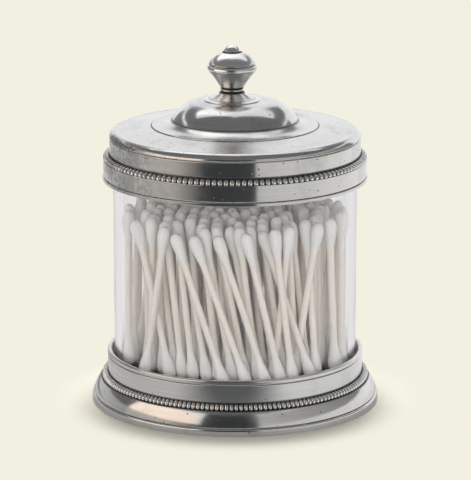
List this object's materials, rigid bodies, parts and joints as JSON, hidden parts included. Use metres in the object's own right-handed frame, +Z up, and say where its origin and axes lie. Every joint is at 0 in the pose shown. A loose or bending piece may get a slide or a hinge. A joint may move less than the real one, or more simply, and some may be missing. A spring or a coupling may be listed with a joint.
{
  "type": "glass canister",
  "caption": "Straight glass jar in a turned pewter base under a lift-off domed pewter lid with a cast knob and beaded borders, filled with cotton swabs.",
  "frame": {"origin": "centre of the foot ring's underside, on the surface that the canister stands on", "axes": "+Z up along the jar's axis, -Y towards the viewer of the picture, +X to the viewer's right"},
  "size_m": [0.135, 0.135, 0.1694],
  "materials": {
    "pewter": "polished pewter with fine turning lines, small casting pits and dark patina in the grooves",
    "clear_glass": "clear, smooth, flame-rounded edges",
    "swab_cotton": "white cotton buds on off-white rolled paper sticks"
  },
  "bodies": {
    "jar": {"base": "pewter", "base_beading": "pewter", "glass_jar": "clear_glass", "cotton_swabs": "swab_cotton"},
    "lid": {"lid": "pewter", "lid_beading": "pewter", "knob": "pewter"}
  },
  "joints": [
    {"name": "lid_lift", "type": "slide", "parent": "jar", "child": "lid", "axis": [0, 0, 1], "range_m": [0, 0.08]}
  ]
}
